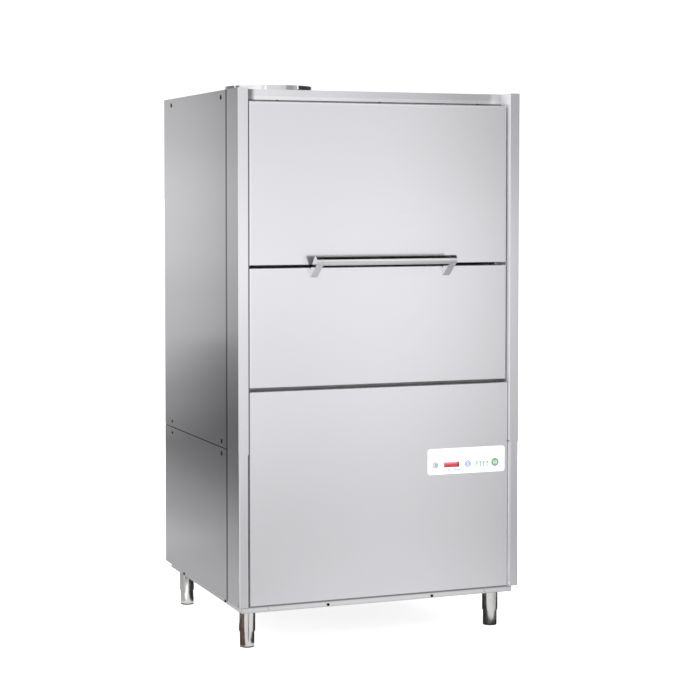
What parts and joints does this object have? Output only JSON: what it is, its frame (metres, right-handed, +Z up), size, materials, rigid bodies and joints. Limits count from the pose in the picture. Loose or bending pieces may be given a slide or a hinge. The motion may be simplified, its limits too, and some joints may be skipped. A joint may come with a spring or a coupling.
{
  "type": "commercial pot washer",
  "caption": "Tall stainless front-loading pot and utensil washer with a horizontally split door, bar handle, round legs and a roof exhaust collar.",
  "frame": {"origin": "on the floor under the middle of the whole machine, handle included", "axes": "+Z up, +Y from the door at the front to the back, +X to the right of a person facing the door"},
  "size_m": [1.044, 0.939, 1.925],
  "materials": {
    "panel_steel": "fine brushed",
    "door_steel": "fine brushed, bright",
    "inner_steel": "2B",
    "collar_steel": "satin",
    "handle_steel": "satin polished",
    "leg_steel": "polished",
    "pipe_steel": "satin",
    "link_steel": "zinc plated",
    "dark_plastic": "matte",
    "guide_plastic": "matte",
    "grey_plastic": "matte",
    "white_film": "satin",
    "key_grey": "satin",
    "key_violet": "satin",
    "key_green": "satin",
    "display_red": "gloss",
    "light_green": "gloss",
    "seal_rubber": "matte",
    "foot_steel": "satin",
    "motor_paint": "matte",
    "brass_fitting": "satin",
    "screw_steel": "satin",
    "heater_steel": "matte"
  },
  "bodies": {
    "cabinet": {"base_frame": "panel_steel", "leg_sleeves": "leg_steel", "side_panel_upper_left": "panel_steel", "side_panel_upper_right": "panel_steel", "side_panel_lower_left": "panel_steel", "side_panel_lower_right": "panel_steel", "columns": "panel_steel", "top_fascia": "panel_steel", "roof_panel": "panel_steel", "exhaust_collar": "collar_steel", "back_panels": "panel_steel", "service_panel": "panel_steel", "control_membrane": "white_film", "display_window": "display_red", "cycle_lights": "light_green", "control_box": "grey_plastic", "dosing_pumps": "grey_plastic", "hinge_bushes": "guide_plastic", "door_guides": "guide_plastic", "wash_chamber": "inner_steel", "door_frame": "inner_steel", "door_seal": "seal_rubber", "wash_tank": "inner_steel", "tank_filters": "inner_steel", "overflow_pipe": "pipe_steel", "tank_heater": "heater_steel", "rack_rails": "inner_steel", "rack": "pipe_steel", "arm_nuts": "grey_plastic", "wash_manifold": "pipe_steel", "pump_casing": "dark_plastic", "pump_motor": "motor_paint", "suction_elbow": "seal_rubber", "boiler": "inner_steel", "boiler_heater": "heater_steel", "rinse_pipes": "pipe_steel", "inlet_valve": "brass_fitting", "drain_valve": "grey_plastic", "cable_gland": "dark_plastic", "fasteners": "screw_steel"},
    "lower_door": {"lower_door_skin": "door_steel", "lower_door_liner": "inner_steel", "handle_bar": "handle_steel", "handle_brackets": "handle_steel", "hinge_levers": "link_steel"},
    "upper_door": {"upper_door_skin": "door_steel", "upper_door_liner": "inner_steel", "lift_carriages": "link_steel"},
    "impeller": {"pump_impeller": "link_steel"},
    "lower_wash_spinner": {"lower_wash_arm": "pipe_steel"},
    "lower_rinse_spinner": {"lower_rinse_arm": "pipe_steel"},
    "upper_wash_spinner": {"upper_wash_arm": "pipe_steel"},
    "upper_rinse_spinner": {"upper_rinse_arm": "pipe_steel"},
    "power_button": {"power_key": "key_grey"},
    "program_button": {"program_key": "key_violet"},
    "start_button": {"start_key": "key_green"},
    "front_left_foot": {"foot_front_left": "foot_steel"},
    "front_right_foot": {"foot_front_right": "foot_steel"},
    "rear_left_foot": {"foot_rear_left": "foot_steel"},
    "rear_right_foot": {"foot_rear_right": "foot_steel"}
  },
  "joints": [
    {"name": "lower_door_hinge", "type": "hinge", "parent": "cabinet", "child": "lower_door", "pos_m": [0, -0.3835, 0.91], "axis": [1, 0, 0], "range_deg": [0, 90]},
    {"name": "upper_door_slide", "type": "slide", "parent": "cabinet", "child": "upper_door", "axis": [0, 0, 1], "range_m": [0, 0.47]},
    {"name": "impeller_spin", "type": "hinge", "parent": "cabinet", "child": "impeller", "pos_m": [0.02, 0.1795, 0.33], "axis": [1, 0, 0], "continuous": true},
    {"name": "lower_wash_arm_spin", "type": "hinge", "parent": "cabinet", "child": "lower_wash_spinner", "pos_m": [0, 0.0395, 0.89775], "axis": [0, 0, 1], "continuous": true},
    {"name": "lower_rinse_arm_spin", "type": "hinge", "parent": "cabinet", "child": "lower_rinse_spinner", "pos_m": [0, 0.0395, 0.918], "axis": [0, 0, 1], "continuous": true},
    {"name": "upper_wash_arm_spin", "type": "hinge", "parent": "cabinet", "child": "upper_wash_spinner", "pos_m": [0, 0.0395, 1.76325], "axis": [0, 0, 1], "continuous": true},
    {"name": "upper_rinse_arm_spin", "type": "hinge", "parent": "cabinet", "child": "upper_rinse_spinner", "pos_m": [0, 0.0395, 1.743], "axis": [0, 0, 1], "continuous": true},
    {"name": "power_key_press", "type": "slide", "parent": "cabinet", "child": "power_button", "axis": [0, 1, 0], "range_m": [0, 0.0008], "stiffness_N_per_m": 1500, "springref_m": -0.0004},
    {"name": "program_key_press", "type": "slide", "parent": "cabinet", "child": "program_button", "axis": [0, 1, 0], "range_m": [0, 0.0008], "stiffness_N_per_m": 1500, "springref_m": -0.0004},
    {"name": "start_key_press", "type": "slide", "parent": "cabinet", "child": "start_button", "axis": [0, 1, 0], "range_m": [0, 0.0008], "stiffness_N_per_m": 1500, "springref_m": -0.0004},
    {"name": "front_left_foot_screw", "type": "slide", "parent": "cabinet", "child": "front_left_foot", "axis": [0, 0, 1], "range_m": [-0.045, 0]},
    {"name": "front_right_foot_screw", "type": "slide", "parent": "cabinet", "child": "front_right_foot", "axis": [0, 0, 1], "range_m": [-0.045, 0]},
    {"name": "rear_left_foot_screw", "type": "slide", "parent": "cabinet", "child": "rear_left_foot", "axis": [0, 0, 1], "range_m": [-0.045, 0]},
    {"name": "rear_right_foot_screw", "type": "slide", "parent": "cabinet", "child": "rear_right_foot", "axis": [0, 0, 1], "range_m": [-0.045, 0]}
  ],
  "couplings": [
    {"joint": "upper_door_slide", "follows": "lower_door_hinge", "m_per_rad": 0.2992}
  ]
}
